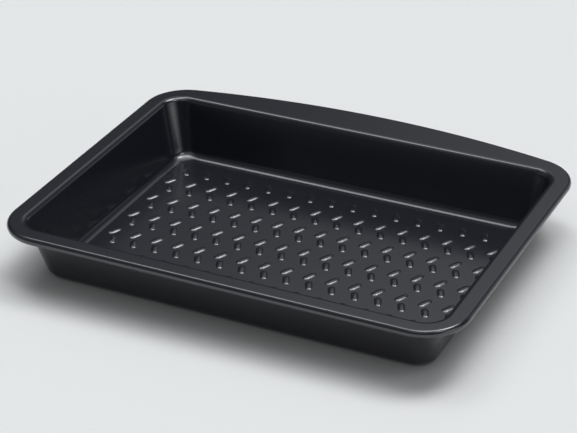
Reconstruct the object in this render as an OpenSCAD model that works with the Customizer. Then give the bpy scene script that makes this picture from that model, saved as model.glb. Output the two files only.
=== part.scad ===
// Roasting dish pressed from one steel sheet, with a bowed grip flange along the back. The outer
// edge is rolled round a stiffening wire.
// The origin is the middle of the flat underside: +X along the length, +Y to the grip, +Z up.

/* [Sheet and wire] */
// Thickness of the steel sheet
sheet = 0.8; // [0.6:0.1:1.2]
// Diameter of the wire inside the rolled edge
wire_d = 5; // [4:0.1:6]
// Play between the wire and the rolled sheet
wire_play = 0.1; // [0.05:0.05:0.3]

/* [Rim] */
// Overall length across the two ends
rim_length = 400; // [398:1:420]
// Flange along the straight front edge, from the wall plane to the outer edge of the rim
front_flange = 16.5; // [14:0.5:30]
// Flange at the crown of the bowed back edge
back_flange = 38; // [36:0.5:50]
// Rise of the bowed back edge over the full length
back_bow = 25; // [15:0.5:27]
// Corner radius of the rim, seen from above
rim_corner = 38.5; // [34:0.5:44]

/* [Pan] */
// Height of the flange above the table
height = 52.5; // [45:0.5:70]
// Length of the opening, where the wall planes meet the flange
opening_length = 366; // [350:1:368]
// Width of the opening, where the wall planes meet the flange
opening_width = 260; // [240:1:262]
// Corner radius of the opening at the flange
opening_corner = 21.5; // [18:0.5:26]
// Lean of the walls from upright, in degrees
draft = 14.4; // [10:0.1:18]
// Bend radius from the wall to the flange, on the top side
top_bend = 5; // [3:0.5:6]
// Bend radius from the floor to the wall, on the inside
floor_bend = 8; // [5:0.5:10]
// Corner radius of the flat floor
floor_corner = 18; // [14:0.5:22]

/* [Hidden] */
$fn = 96;

// How far each cut runs past the surface it opens
overrun = 1;
// Flat strip beside each bend, where the flange plate laps the pan and the rolled edge
lap = 3;
// Steps round a quarter corner and round a bend of the pan
corner_steps = 8;
bend_steps = 4;
// Flats round the wire
wire_sides = 12;
// The roll is open over this angle, just inside the top of the bead
roll_gap = 70;
// Gap between the two ends of the wire, at the middle of the front edge
wire_gap = 1.5;

bead_r = wire_d / 2 + wire_play + sheet;
bend_angle = 90 - draft;

// Reach of the rim from the middle of the dish: to each end, to the front and to the back
half_length = rim_length / 2;
front_reach = opening_width / 2 + front_flange;
back_reach = opening_width / 2 + back_flange;

// Where the flange turns into the wall, and where the wall turns into the flat floor
top_edge = [opening_length, opening_width] / 2 + [1, 1] * top_bend * tan(bend_angle / 2);
floor_edge = [opening_length, opening_width] / 2
    - [1, 1] * ((height - sheet) * tan(draft) + floor_bend * tan(bend_angle / 2));

// The back edge is one arc that would meet both ends back_bow below its crown
bow_r = (pow(half_length, 2) + pow(back_bow, 2)) / (2 * back_bow);
bow_y = back_reach - bow_r;
corner_x = half_length - rim_corner;
front_corner_y = rim_corner - front_reach;
back_corner_y = bow_y + sqrt(pow(bow_r - rim_corner, 2) - pow(corner_x, 2));
bow_angle = asin(corner_x / (bow_r - rim_corner));

function arc(middle, r, from, to, steps) =
    [for (i = [0:steps]) let (a = from + (to - from) * i / steps) middle + r * [cos(a), sin(a)]];

// Rounded rectangle, anticlockwise from the right-hand end, with half sizes and a corner radius
function rounded(half, r) = [
    for (k = [0:3]) let (side = [k == 0 || k == 3 ? 1 : -1, k < 2 ? 1 : -1])
        each arc([side.x * (half.x - r), side.y * (half.y - r)], r, 90 * k, 90 * (k + 1), corner_steps)];

// The same outline as an open path that starts and ends at the gap in the wire
function wire_path(inset) =
    let (outline = rim_outline(inset), front = -front_reach + inset)
    concat([[wire_gap / 2, front]], [for (i = [len(outline) - corner_steps - 1:len(outline) - 1]) outline[i]],
        [for (i = [0:len(outline) - corner_steps - 2]) outline[i]], [[-wire_gap / 2, front]]);

function ring(half, r, z) = [for (p = rounded(half, r)) [p.x, p.y, z]];

// Rim outline drawn in by a distance from the outer edge
function rim_outline(inset) = concat(
    arc([corner_x, back_corner_y], rim_corner - inset, 0, 90 - bow_angle, corner_steps),
    arc([0, bow_y], bow_r - inset, 90 - bow_angle, 90 + bow_angle, 4 * corner_steps),
    arc([-corner_x, back_corner_y], rim_corner - inset, 90 + bow_angle, 180, corner_steps),
    arc([-corner_x, front_corner_y], rim_corner - inset, 180, 270, corner_steps),
    arc([corner_x, front_corner_y], rim_corner - inset, 270, 360, corner_steps));

// Rings of one face of the pan, from the floor up to the flange. The inner face has depth 0 and
// the outer face lies one sheet deeper, so that each bend keeps its centre.
function pan_rings(depth) = concat(
    [for (i = [0:bend_steps]) let (a = bend_angle * i / bend_steps, r = floor_bend + depth)
        ring(floor_edge + [1, 1] * r * sin(a), floor_corner + r * sin(a),
            sheet + floor_bend - r * cos(a))],
    [for (i = [0:bend_steps]) let (a = bend_angle * (1 - i / bend_steps), r = top_bend - depth)
        ring(top_edge - [1, 1] * r * sin(a), opening_corner - r * sin(a),
            height - top_bend + r * cos(a))],
    [ring(top_edge + [lap, lap], opening_corner + lap, height - depth)]);

// Closed skin over a list of rings that all have as many points
module skin(rings) {
    n = len(rings[0]);
    last = len(rings) - 1;
    faces = concat(
        [[for (i = [0:n - 1]) i]],
        [for (k = [0:last - 1], i = [0:n - 1]) let (j = (i + 1) % n)
            each [[k * n + i, (k + 1) * n + j, k * n + j], [k * n + i, (k + 1) * n + i, (k + 1) * n + j]]],
        [[for (i = [n - 1:-1:0]) last * n + i]]);
    polyhedron([for (r = rings) each r], faces);
}

// Floor, walls and both bends: up the outer face and down the inner one
module pan() {
    inner = pan_rings(0);
    skin(concat(pan_rings(sheet), [for (i = [len(inner) - 1:-1:0]) inner[i]]));
}

module flange_plate() {
    translate([0, 0, height - sheet])
        linear_extrude(sheet) difference() {
            polygon(rim_outline(bead_r + lap / 2));
            polygon(rounded(top_edge + [lap, lap] / 2, opening_corner + lap / 2));
        }
}

// Carries an outline along one straight edge: x is outward from the rim's edge, y is up
module straight_run(length) {
    rotate([90, 0, 0]) linear_extrude(length) children();
}

module corner_run(angle, r) {
    rotate_extrude(angle = angle) translate([r, 0]) children();
}

// Carries an outline all the way round the rim
module round_the_rim() {
    side_length = back_corner_y - front_corner_y;
    for (side = [0, 1]) mirror([side, 0, 0]) {
        translate([half_length, back_corner_y, height])
            straight_run(side_length) children();
        translate([corner_x, back_corner_y, height])
            corner_run(90 - bow_angle, rim_corner) children();
        translate([corner_x, front_corner_y, height])
            rotate([0, 0, -90]) corner_run(90, rim_corner) children();
    }
    translate([corner_x, -front_reach, height])
        rotate([0, 0, -90]) straight_run(2 * corner_x) children();
    translate([0, bow_y, height])
        rotate([0, 0, 90 - bow_angle]) corner_run(2 * bow_angle, bow_r) children();
}

// Section of the rolled edge: a strip of flange that turns down and round the wire
module roll_section() {
    translate([-bead_r - lap, -sheet]) square([lap, sheet]);
    translate([-bead_r, -bead_r]) difference() {
        circle(bead_r);
        circle(bead_r - sheet);
        reach = bead_r + overrun;
        polygon([[0, 0], [0, reach], [-reach, reach], [-reach, reach / tan(roll_gap)]]);
    }
}

module dish_body() {
    color([0.16, 0.17, 0.19]) {
        pan();
        flange_plate();
        round_the_rim() roll_section();
    }
}

// One bent rod whose ends meet at the middle of the front edge
module rim_wire() {
    turns = [for (i = [0:wire_sides - 1]) 360 * i / wire_sides];
    paths = [for (a = turns) wire_path(bead_r - wire_d / 2 * cos(a))];
    color([0.7, 0.7, 0.72])
        skin([for (k = [0:len(paths[0]) - 1]) [for (i = [0:wire_sides - 1])
            [paths[i][k].x, paths[i][k].y, height - bead_r + wire_d / 2 * sin(turns[i])]]]);
}

dish_body();
rim_wire();
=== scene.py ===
# Roasting dish: dark coated pressed steel, ribbed floor, bowed grip flange and rolled edge
import math

import bpy
import numpy as np
from mathutils import Matrix, Vector
from mathutils.geometry import delaunay_2d_cdt


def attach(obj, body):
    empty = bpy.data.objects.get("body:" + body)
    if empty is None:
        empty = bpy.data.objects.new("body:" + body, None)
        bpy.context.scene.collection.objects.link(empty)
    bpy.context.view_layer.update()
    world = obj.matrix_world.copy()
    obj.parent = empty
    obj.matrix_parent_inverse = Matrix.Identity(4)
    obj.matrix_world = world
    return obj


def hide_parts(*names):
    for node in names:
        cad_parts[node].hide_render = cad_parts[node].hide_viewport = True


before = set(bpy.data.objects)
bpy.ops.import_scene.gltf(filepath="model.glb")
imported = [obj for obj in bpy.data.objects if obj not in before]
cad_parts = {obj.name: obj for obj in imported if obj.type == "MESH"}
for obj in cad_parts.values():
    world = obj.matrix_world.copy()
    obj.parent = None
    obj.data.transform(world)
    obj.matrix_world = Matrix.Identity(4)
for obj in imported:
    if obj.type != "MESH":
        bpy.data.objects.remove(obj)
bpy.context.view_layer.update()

mm = 0.001  # sizes in the dictionaries are in mm, angles in degrees


def meshFrom(name, points, faceSets, normalSets):
    # faceSets are integer arrays of triangles or quads, and normalSets hold one normal for each
    # of their corners
    mesh = bpy.data.meshes.new(name)
    corners = np.concatenate([faces.ravel() for faces in faceSets])
    sizes = np.concatenate([np.full(len(faces), faces.shape[1]) for faces in faceSets])
    starts = np.concatenate([[0], np.cumsum(sizes)[:-1]])
    mesh.vertices.add(len(points))
    mesh.vertices.foreach_set("co", (points * mm).astype(np.float32).ravel())
    mesh.loops.add(len(corners))
    mesh.loops.foreach_set("vertex_index", corners.astype(np.int32))
    mesh.polygons.add(len(sizes))
    mesh.polygons.foreach_set("loop_start", starts.astype(np.int32))
    mesh.update(calc_edges=True)
    mesh.polygons.foreach_set("use_smooth", np.ones(len(sizes), bool))
    normals = np.concatenate([rows.reshape(-1, 3) for rows in normalSets])
    mesh.normals_split_custom_set(normals.tolist())
    piece = bpy.data.objects.new(name, mesh)
    bpy.context.scene.collection.objects.link(piece)
    return piece


def gridQuads(rows, columns):
    # Quads between row i and i+1 (round the rim) and column j and j+1 (outward), facing up
    i = np.arange(rows)[:, None]
    j = np.arange(columns - 1)[None, :]
    nextI = (i + 1) % rows
    quads = [i * columns + j, i * columns + j + 1, nextI * columns + j + 1, nextI * columns + j]
    return np.stack(quads, -1).reshape(-1, 4)


pan = {
    "sheet": 0.8,
    "height": 52.5,
    "opening": (366.0, 260.0),
    "openingCorner": 21.5,
    "draft": 14.4,
    "topBend": 5.0,
    "floorBend": 8.0,
    "floorCorner": 18.0,
    "cornerEase": (-0.4, 0.7),  # share of each bend's run that the corner radius follows
    "blend": 4.0,  # half length over which the corner radius eases from bend to wall
    "profileSamples": 1601,
    "profilePoints": (15, 13, 13),  # floor bend, wall, top bend
    "cornerSteps": 24,
    "sideSteps": 10,
    "backSteps": 60,
    "weld": 1e-6,
    "smallestFace": 1e-9,
}
rim = {
    "length": 400.0,
    "frontReach": 146.5,
    "backReach": 168.0,
    "backBow": 25.0,
    "corner": 38.5,
    "wire": 5.0,
    "play": 0.1,
    "rollGap": 70.0,
    "rollSteps": 40,
    "flangeShares": (0.25, 0.5, 0.75),  # inner points of each straight line across the flange
}


def panProfile():
    # The side profile by arc length: floor bend, leaning wall, top bend. Gives the outward run,
    # the height and the corner radius with their slopes. Over each bend the radius follows a
    # share of the run, and its slope is eased where bend and wall meet so that no crease shows.
    bend = math.radians(90 - pan["draft"])
    r1, r2 = pan["floorBend"], pan["topBend"]
    rise = pan["height"] - pan["sheet"]
    run = rise * math.tan(math.radians(pan["draft"])) + (r1 + r2) * math.tan(bend / 2)
    wallRun = run - (r1 + r2) * math.sin(bend)
    wallRise = rise - (r1 + r2) * (1 - math.cos(bend))
    lengths = [r1 * bend, math.hypot(wallRun, wallRise), r2 * bend]
    edges = np.concatenate([[0], np.cumsum(lengths)])
    fine = np.linspace(0, edges[-1], pan["profileSamples"])
    a = np.interp(fine, edges, [0, bend, bend, 0])
    summed = lambda row: np.concatenate([[0], np.cumsum((row[1:] + row[:-1]) / 2 * np.diff(fine))])
    out, up = summed(np.cos(a)), summed(np.sin(a))
    low, high = pan["floorCorner"], pan["openingCorner"]
    ease1, ease2 = pan["cornerEase"]
    foot, head = low + ease1 * r1 * math.sin(bend), high - ease2 * r2 * math.sin(bend)
    slope = np.where(fine < edges[1], ease1 * np.cos(a),
                     np.where(fine > edges[2], ease2 * np.cos(a), (head - foot) / lengths[1]))
    window = int(2 * pan["blend"] / (fine[1] - fine[0])) | 1
    kernel = np.hanning(window + 2)[1:-1]
    slope = np.convolve(np.pad(slope, window // 2, mode="edge"), kernel / kernel.sum(), mode="valid")
    radius = low + summed(slope)
    radius += (high - radius[-1]) * fine / fine[-1]
    steps = np.concatenate([[0]] + [
        np.linspace(edges[k], edges[k + 1], count)[1:] for k, count in enumerate(pan["profilePoints"])])
    pick = lambda row: np.interp(steps, fine, row)
    return {"run": run, "out": pick(out), "up": pick(up), "radius": pick(radius),
            "outSlope": np.cos(pick(a)), "upSlope": np.sin(pick(a)), "radiusSlope": pick(slope)}


def outlineAngles():
    # Stations round the dish: a turn angle, the two corners that a side runs between, and how far
    # along that side. Corners turn in steps, and sides only run.
    turn, first, second, share = [], [], [], []
    sides = [pan["backSteps"], pan["sideSteps"], pan["sideSteps"], pan["sideSteps"]]
    for k in range(4):
        theta = np.linspace(90 * k, 90 * (k + 1), pan["cornerSteps"] + 1)
        along = np.arange(1, sides[k]) / sides[k]
        turn.append(np.concatenate([theta, np.full(len(along), 90.0 * (k + 1))]))
        first.append(np.full(len(theta) + len(along), k))
        second.append(np.concatenate([np.full(len(theta), k), np.full(len(along), (k + 1) % 4)]))
        share.append(np.concatenate([np.zeros(len(theta)), along]))
    return [np.concatenate(rows) for rows in (turn, first, second, share)]


def bowedRim(turn, first, second, share):
    # Rim centre line one bead radius inside the edge: three straight edges, four round corners
    # and one long arc across the back
    bead = rim["wire"] / 2 + rim["play"] + pan["sheet"]
    half = rim["length"] / 2
    bowR = (half ** 2 + rim["backBow"] ** 2) / (2 * rim["backBow"])
    bowY = rim["backReach"] - bowR
    cx = half - rim["corner"]
    frontY = rim["corner"] - rim["frontReach"]
    backY = bowY + math.sqrt((bowR - rim["corner"]) ** 2 - cx ** 2)
    bowTurn = math.degrees(math.asin(cx / (bowR - rim["corner"])))
    centres = np.array([[cx, backY], [-cx, backY], [-cx, frontY], [cx, frontY]])
    k = first.astype(int)
    # the two back corners turn less, because the bowed edge takes the rest of the turn
    psi = turn.copy()
    isCorner = share == 0
    psi = np.where(isCorner & (k == 0), turn / 90 * (90 - bowTurn), psi)
    psi = np.where(isCorner & (k == 1), 180 - (180 - turn) / 90 * (90 - bowTurn), psi)
    psi = np.where(~isCorner & (k == 0), 90 - bowTurn + 2 * bowTurn * share, psi)
    normal = np.stack([np.cos(np.radians(psi)), np.sin(np.radians(psi))], -1)
    reach = rim["corner"] - bead
    start = centres[k] + reach * normal
    finish = centres[second.astype(int)] + reach * normal
    straight = start + (finish - start) * share[:, None]
    arc = np.array([0, bowY]) + (bowR - bead) * normal
    points = np.where((~isCorner & (k == 0))[:, None], arc, straight)
    return points, normal, bead


def sheetGrid():
    # One surface of the pressed sheet, from the edge of the flat floor out over the flange and
    # round the rolled edge: rounded rectangles up the wall, straight lines across the flange,
    # and a circle round the wire. Gives points and true normals.
    p = panProfile()
    turn, first, second, share = outlineAngles()
    theta = np.radians(turn)
    n = np.stack([np.cos(theta), np.sin(theta)], -1)
    signs = np.array([[1, 1], [-1, 1], [-1, -1], [1, -1]])
    bend = math.radians(90 - pan["draft"])
    floorHalf = np.array(pan["opening"]) / 2 + pan["topBend"] * math.tan(bend / 2) - p["run"]
    centre = floorHalf[None, :] + (p["out"] - p["radius"])[:, None]
    arcs = n[:, None, :] * p["radius"][None, :, None]
    a = signs[first.astype(int)][:, None, :] * centre[None] + arcs
    b = signs[second.astype(int)][:, None, :] * centre[None] + arcs
    flat = a + (b - a) * share[:, None, None]
    z = np.broadcast_to(pan["sheet"] + p["up"], flat.shape[:2])
    wall = np.concatenate([flat, z[..., None]], -1)
    spread = np.abs(n).sum(-1)[:, None]
    lift = (p["outSlope"] - p["radiusSlope"]) * spread + p["radiusSlope"]
    side = np.broadcast_to(p["upSlope"], lift.shape)
    wallNormal = np.concatenate([-n[:, None, :] * side[..., None], lift[..., None]], -1)
    wallNormal /= np.linalg.norm(wallNormal, axis=-1, keepdims=True)

    edge, out, bead = bowedRim(turn, first, second, share)
    steps = np.array(rim["flangeShares"])[None, :, None]
    plate = wall[:, -1:, :2] + (edge[:, None, :] - wall[:, -1:, :2]) * steps
    plate = np.concatenate([plate, np.full(plate.shape[:2] + (1,), pan["height"])], -1)
    up = np.broadcast_to([0.0, 0.0, 1.0], plate.shape)

    beta = np.radians(np.linspace(90, 90 - (360 - rim["rollGap"]), rim["rollSteps"] + 1))
    roll = edge[:, None, :] + out[:, None, :] * (bead * np.cos(beta))[None, :, None]
    rollZ = np.broadcast_to(pan["height"] - bead + bead * np.sin(beta), roll.shape[:2])
    roll = np.concatenate([roll, rollZ[..., None]], -1)
    rollNormal = np.concatenate([
        out[:, None, :] * np.cos(beta)[None, :, None],
        np.broadcast_to(np.sin(beta), roll.shape[:2])[..., None]], -1)
    return np.concatenate([wall, plate, roll], 1), np.concatenate([wallNormal, up, rollNormal], 1)


rib = {
    "columns": 16,
    "rows": 6,
    "pitch": (20.37, 32.8),
    "halfLength": 7.0,
    "halfWidth": 3.2,
    "rise": 1.05,
    "bluntEnd": 4.0,  # power along the rib, higher is blunter
    "roundSide": 2.0,  # power across the rib
    "dome": 1.15,  # power of the fall from the crown, higher is flatter on top and steeper below
    "foot": 0.82,  # share of the contour value that is crown, the rest is the foot fillet
    "lean": 64.5,  # from the length of the dish
    "step": (2.75, 9.75),  # from the middle of a pair to each of its ribs
    "shift": (1.0, -2.85),  # of the whole grid from the middle of the dish
    "rings": (0.1, 0.28, 0.46, 0.64, 0.82, 1.0),
    "around": 20,
    "outlineSamples": 4001,
}


def ribPoints():
    # A pressed grain with blunt ends. Its contours are s = |u/halfU|^a + |v/halfV|^b. The height
    # falls as 1 - c s^p over the crown and as q (1 - s)^2 over the foot, and they meet with one
    # slope. Gives points, normals, and where each rib lies and how far it is turned.
    halfU, halfV, a, b = rib["halfLength"], rib["halfWidth"], rib["bluntEnd"], rib["roundSide"]
    p, foot = rib["dome"], rib["foot"]
    c = 1 / (foot ** p + p * foot ** (p - 1) * (1 - foot) / 2)
    q = c * p * foot ** (p - 1) / (2 * (1 - foot))
    dense = np.linspace(0, 2 * np.pi, rib["outlineSamples"])
    power = lambda value, e: np.sign(value) * np.abs(value) ** (2 / e)
    rimU, rimV = halfU * power(np.cos(dense), a), halfV * power(np.sin(dense), b)
    walked = np.concatenate([[0], np.cumsum(np.hypot(np.diff(rimU), np.diff(rimV)))])
    tau = np.interp((np.arange(rib["around"]) + 0.5) / rib["around"] * walked[-1], walked, dense)
    level = np.array(rib["rings"])[:, None]
    u = level ** (1 / a) * halfU * power(np.cos(tau), a)
    v = level ** (1 / b) * halfV * power(np.sin(tau), b)
    level = np.broadcast_to(level, u.shape)
    h = np.where(level <= foot, 1 - c * level ** p, q * (1 - level) ** 2)
    fall = np.where(level <= foot, c * p * level ** (p - 1), 2 * q * (1 - level))
    slopeU = rib["rise"] * fall * a * np.abs(u / halfU) ** (a - 1) * np.sign(u) / halfU
    slopeV = rib["rise"] * fall * b * np.abs(v / halfV) ** (b - 1) * np.sign(v) / halfV
    local = np.concatenate([[[0, 0, 1]], np.stack([u, v, h], -1).reshape(-1, 3)])
    tilt = np.concatenate([[[0, 0]], np.stack([slopeU, slopeV], -1).reshape(-1, 2)])
    local[:, 2] *= rib["rise"]
    places, turns = [], []
    counts = np.array([rib["columns"], rib["rows"]])
    cells = np.stack(np.meshgrid(*[np.arange(k) for k in counts], indexing="ij"), -1).reshape(-1, 2)
    middles = (cells - (counts - 1) / 2) * rib["pitch"]
    for side in (-1, 1):
        places.append(middles + side * np.array(rib["step"]) + rib["shift"])
        turns.append(np.full(len(middles), math.radians(-side * rib["lean"])))
    places, turns = np.concatenate(places), np.concatenate(turns)
    c, s = np.cos(turns)[:, None], np.sin(turns)[:, None]
    x = places[:, :1] + c * local[:, 0] - s * local[:, 1]
    y = places[:, 1:] + s * local[:, 0] + c * local[:, 1]
    z = np.broadcast_to(pan["sheet"] + local[:, 2], x.shape)
    nx = c * tilt[:, 0] - s * tilt[:, 1]
    ny = s * tilt[:, 0] + c * tilt[:, 1]
    normal = np.stack([nx, ny, np.ones(nx.shape)], -1)
    normal /= np.linalg.norm(normal, axis=-1, keepdims=True)
    return np.stack([x, y, z], -1), normal, places, turns


def ribFaces(count, first):
    # Fan round the crown, then quads from ring to ring, for every rib at once
    m, rings = rib["around"], len(rib["rings"])
    k = np.arange(m)
    fan = np.stack([np.zeros(m, int), 1 + k, 1 + (k + 1) % m], -1)
    quads = []
    for ring in range(rings - 1):
        a, b = 1 + ring * m, 1 + (ring + 1) * m
        quads.append(np.stack([a + k, b + k, b + (k + 1) % m, a + (k + 1) % m], -1))
    base = first + np.arange(count)[:, None, None] * (1 + m * rings)
    return (fan[None] + base).reshape(-1, 3), (np.concatenate(quads)[None] + base).reshape(-1, 4)


def flatFloor(points, edgeLoop, ribLoops, places, turns):
    # Flat sheet between the ribs: triangles with every rib outline and the floor edge as limits
    ids = np.concatenate([edgeLoop, ribLoops.ravel()])
    loops = [edgeLoop] + list(ribLoops)
    links, start = [], 0
    for loop in loops:
        k = np.arange(len(loop))
        links.append(np.stack([start + k, start + (k + 1) % len(loop)], -1))
        start += len(loop)
    result = delaunay_2d_cdt([Vector(p) for p in points[ids, :2].tolist()],
                             np.concatenate(links).tolist(), [], 0, pan["weld"], True)
    tris = np.array([face for face in result[2] if len(face) == 3])
    source = np.array([origin[0] for origin in result[3]])
    xy = np.array([list(p) for p in result[0]])
    a, b, c = xy[tris[:, 0]], xy[tris[:, 1]], xy[tris[:, 2]]
    cross = (b[:, 0] - a[:, 0]) * (c[:, 1] - a[:, 1]) - (b[:, 1] - a[:, 1]) * (c[:, 0] - a[:, 0])
    tris = np.where(cross[:, None] < 0, tris[:, ::-1], tris)
    d = ((a + b + c) / 3)[:, None, :] - places[None]
    u = np.abs(d[..., 0] * np.cos(turns) + d[..., 1] * np.sin(turns)) / rib["halfLength"]
    v = np.abs(d[..., 1] * np.cos(turns) - d[..., 0] * np.sin(turns)) / rib["halfWidth"]
    outside = (u ** rib["bluntEnd"] + v ** rib["roundSide"]).min(1) > 1
    return ids[source[tris[outside & (np.abs(cross) > pan["smallestFace"])]]]


def makeDish():
    # The upper surface, its copy one sheet lower, and the lip that closes them at the roll's end
    grid, gridNormal = sheetGrid()
    rows, columns = grid.shape[:2]
    ribs, ribNormal, places, turns = ribPoints()
    count, perRib = ribs.shape[:2]
    top = np.concatenate([grid.reshape(-1, 3), ribs.reshape(-1, 3)])
    normal = np.concatenate([gridNormal.reshape(-1, 3), ribNormal.reshape(-1, 3)])
    under = top - pan["sheet"] * normal
    points = np.concatenate([top, under])
    size = len(top)
    edgeLoop = np.arange(rows) * columns
    ribEnds = rows * columns + (np.arange(count) + 1)[:, None] * perRib
    outer = ribEnds - rib["around"] + np.arange(rib["around"])
    quads = gridQuads(rows, columns)
    fan, ringQuads = ribFaces(count, rows * columns)
    floorTris = flatFloor(points, edgeLoop, outer, places, turns)
    tris = np.concatenate([fan, floorTris])
    quads = np.concatenate([quads, ringQuads])
    i = np.arange(rows)
    last, following = i * columns + columns - 1, (i + 1) % rows * columns + columns - 1
    lip = np.stack([last, last + size, following + size, following], -1)
    a, b, c = points[lip[:, 0]], points[lip[:, 1]], points[lip[:, 2]]
    lipNormal = np.cross(b - a, c - b)
    lipNormal /= np.linalg.norm(lipNormal, axis=-1, keepdims=True)
    underTris, underQuads = tris[:, ::-1] + size, quads[:, ::-1] + size
    every = np.concatenate([normal, -normal])
    print("dish triangles", 2 * (len(tris) + 2 * len(quads) + len(lip)))
    return meshFrom("dish_sheet", points, [tris, underTris, quads, underQuads, lip],
                    [every[tris], every[underTris], every[quads], every[underQuads],
                     np.repeat(lipNormal[:, None], 4, 1)])


dish = makeDish()
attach(dish, "root")
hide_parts("dish_body")
print("pressed sheet made")


coating = {
    "colour": (0.0125, 0.0132, 0.0185, 1),
    "colourWorn": (0.0145, 0.0153, 0.0210, 1),
    "cloudScale": 22,
    "cloudDetail": 3,
    "grain": {"Scale": 900, "Detail": 4, "Low": 0.17, "High": 0.23},
    "bump": {"Strength": 0.06, "Distance": 0.0002},
    "ior": 1.8,
}
wireSteel = {
    "colour": (0.45, 0.45, 0.46, 1),
    "grain": {"Scale": 260, "Detail": 4, "Low": 0.25, "High": 0.42},
}


def newMaterial(name):
    material = bpy.data.materials.new(name)
    material.use_nodes = True
    tree = material.node_tree
    return material, tree.nodes, tree.links, tree.nodes["Principled BSDF"]


def grainGroup():
    # Fine noise over a piece, and a roughness that follows it between two limits
    group = bpy.data.node_groups.new("fine_grain", "ShaderNodeTree")
    for label in ("Scale", "Detail", "Low", "High"):
        group.interface.new_socket(label, in_out="INPUT", socket_type="NodeSocketFloat")
    for label in ("Grain", "Roughness"):
        group.interface.new_socket(label, in_out="OUTPUT", socket_type="NodeSocketFloat")
    nodes, links = group.nodes, group.links
    given, result = nodes.new("NodeGroupInput"), nodes.new("NodeGroupOutput")
    coords, noise = nodes.new("ShaderNodeTexCoord"), nodes.new("ShaderNodeTexNoise")
    spread = nodes.new("ShaderNodeMapRange")
    links.new(coords.outputs["Object"], noise.inputs["Vector"])
    links.new(given.outputs["Scale"], noise.inputs["Scale"])
    links.new(given.outputs["Detail"], noise.inputs["Detail"])
    links.new(given.outputs["Low"], spread.inputs["To Min"])
    links.new(given.outputs["High"], spread.inputs["To Max"])
    links.new(noise.outputs["Fac"], spread.inputs["Value"])
    links.new(noise.outputs["Fac"], result.inputs["Grain"])
    links.new(spread.outputs["Result"], result.inputs["Roughness"])
    return group


fineGrain = grainGroup()


def addGrain(nodes, links, shader, values):
    grain = nodes.new("ShaderNodeGroup")
    grain.node_tree = fineGrain
    for label, value in values.items():
        grain.inputs[label].default_value = value
    links.new(grain.outputs["Roughness"], shader.inputs["Roughness"])
    return grain


def coatingMaterial():
    material, nodes, links, shader = newMaterial("nonstick_coating")
    coords = nodes.new("ShaderNodeTexCoord")
    cloud = nodes.new("ShaderNodeTexNoise")
    cloud.inputs["Scale"].default_value = coating["cloudScale"]
    cloud.inputs["Detail"].default_value = coating["cloudDetail"]
    links.new(coords.outputs["Object"], cloud.inputs["Vector"])
    mix = nodes.new("ShaderNodeMix")
    mix.data_type = "RGBA"
    # the mix node keeps its two colours at 6 and 7 and gives the mixed colour at 2
    mix.inputs[6].default_value = coating["colour"]
    mix.inputs[7].default_value = coating["colourWorn"]
    links.new(cloud.outputs["Fac"], mix.inputs["Factor"])
    links.new(mix.outputs[2], shader.inputs["Base Color"])
    grain = addGrain(nodes, links, shader, coating["grain"])
    bump = nodes.new("ShaderNodeBump")
    for label, value in coating["bump"].items():
        bump.inputs[label].default_value = value
    links.new(grain.outputs["Grain"], bump.inputs["Height"])
    links.new(bump.outputs["Normal"], shader.inputs["Normal"])
    shader.inputs["IOR"].default_value = coating["ior"]
    return material


dish.data.materials.append(coatingMaterial())


def wireMaterial():
    material, nodes, links, shader = newMaterial("rim_wire_steel")
    addGrain(nodes, links, shader, wireSteel["grain"])
    shader.inputs["Base Color"].default_value = wireSteel["colour"]
    shader.inputs["Metallic"].default_value = 1
    return material


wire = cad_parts["rim_wire"]
wire.data.materials.clear()
wire.data.materials.append(wireMaterial())
print("finishes made")


studio = {
    "floorSize": 14,
    "floorColour": (0.9, 0.888, 0.868, 1),
    "floorRoughness": 0.9,
    "floorGloss": 0.1,
    "tint": (0.935, 0.968, 1.0, 1),
    "base": 0.04,
    # soft lights of the surrounding room: heading from +Y towards +X, elevation, reach, strength
    "lights": [
        (42, 64, 16, 7.0),
        (24, 63, 16, 7.0),
        (0, 84, 22, 6.0),
        (104, 57, 14, 5.0),
        (-62, 64, 18, 4.4),
        (-26, 43, 15, 0.8),
        (-42, 28, 16, 0.07),
        (-8, 36, 24, 0.5),
        (30, 12, 23, 0.5),
        (-97, 51, 37, 0.25),
        (170, 60, 38, 0.62),
        (97, 8, 34, 1.2),
        (-131, -14, 60, 0.42),
    ],
}


def studioFloor():
    bpy.ops.mesh.primitive_plane_add(size=studio["floorSize"], location=(0, 0, 0))
    floor = bpy.context.object
    floor.name = "studio_floor"
    material, _, _, shader = newMaterial("studio_floor")
    shader.inputs["Base Color"].default_value = studio["floorColour"]
    shader.inputs["Roughness"].default_value = studio["floorRoughness"]
    shader.inputs["Specular IOR Level"].default_value = studio["floorGloss"]
    floor.data.materials.append(material)


studioFloor()


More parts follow.
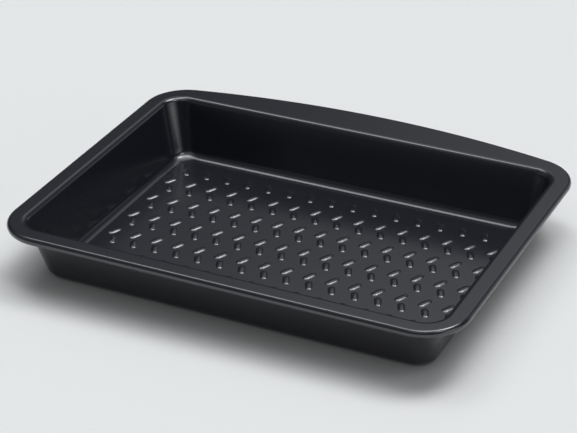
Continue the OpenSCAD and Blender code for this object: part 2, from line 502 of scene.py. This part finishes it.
def studioWorld():
    # A dim room with a few soft lights, each one fading out over its own reach
    world = bpy.data.worlds.new("studio")
    world.use_nodes = True
    nodes, links = world.node_tree.nodes, world.node_tree.links
    heading = nodes.new("ShaderNodeTexCoord").outputs["Generated"]
    total = studio["base"]
    for azimuth, elevation, reach, strength in studio["lights"]:
        a, e = math.radians(azimuth), math.radians(elevation)
        toward = nodes.new("ShaderNodeVectorMath")
        toward.operation = "DOT_PRODUCT"
        toward.inputs[1].default_value = (
            math.sin(a) * math.cos(e), math.cos(a) * math.cos(e), math.sin(e))
        links.new(heading, toward.inputs[0])
        angle = nodes.new("ShaderNodeMath")
        angle.operation = "ARCCOSINE"
        links.new(toward.outputs["Value"], angle.inputs[0])
        fade = nodes.new("ShaderNodeMapRange")
        fade.interpolation_type = "SMOOTHSTEP"
        fade.inputs["From Min"].default_value = 0
        fade.inputs["From Max"].default_value = math.radians(reach)
        fade.inputs["To Min"].default_value = strength
        fade.inputs["To Max"].default_value = 0
        links.new(angle.outputs[0], fade.inputs["Value"])
        add = nodes.new("ShaderNodeMath")
        if isinstance(total, float):
            add.inputs[0].default_value = total
        else:
            links.new(total, add.inputs[0])
        links.new(fade.outputs["Result"], add.inputs[1])
        total = add.outputs[0]
    sky = nodes["Background"]
    sky.inputs["Color"].default_value = studio["tint"]
    links.new(total, sky.inputs["Strength"])
    bpy.context.scene.world = world


studioWorld()

camera = {
    "place": (643.2, -1300.5, 852.4),
    "right": (0.9062198, 0.42273169, -0.00797488),
    "down": (0.20114779, -0.4476423, -0.87129555),
    "focalPixels": 2017.84,
    "centre": (324.92, 216.03),
    "picture": (577, 433),
    "sensor": 36,
    "clip": (0.05, 50),
}


def makeCamera():
    lens = bpy.data.cameras.new("camera")
    width, height = camera["picture"]
    lens.sensor_fit = "HORIZONTAL"
    lens.sensor_width = camera["sensor"]
    lens.lens = camera["sensor"] * camera["focalPixels"] / width
    lens.shift_x = (width / 2 - camera["centre"][0]) / width
    lens.shift_y = (camera["centre"][1] - height / 2) / width
    lens.clip_start, lens.clip_end = camera["clip"]
    item = bpy.data.objects.new("camera", lens)
    bpy.context.scene.collection.objects.link(item)
    right, up = Vector(camera["right"]), -Vector(camera["down"])
    turned = Matrix((right, up, right.cross(up))).transposed().to_4x4()
    item.matrix_world = Matrix.Translation(Vector(camera["place"]) * mm) @ turned
    bpy.context.scene.camera = item


makeCamera()
bpy.context.scene.view_settings.view_transform = "Standard"
print("studio made")
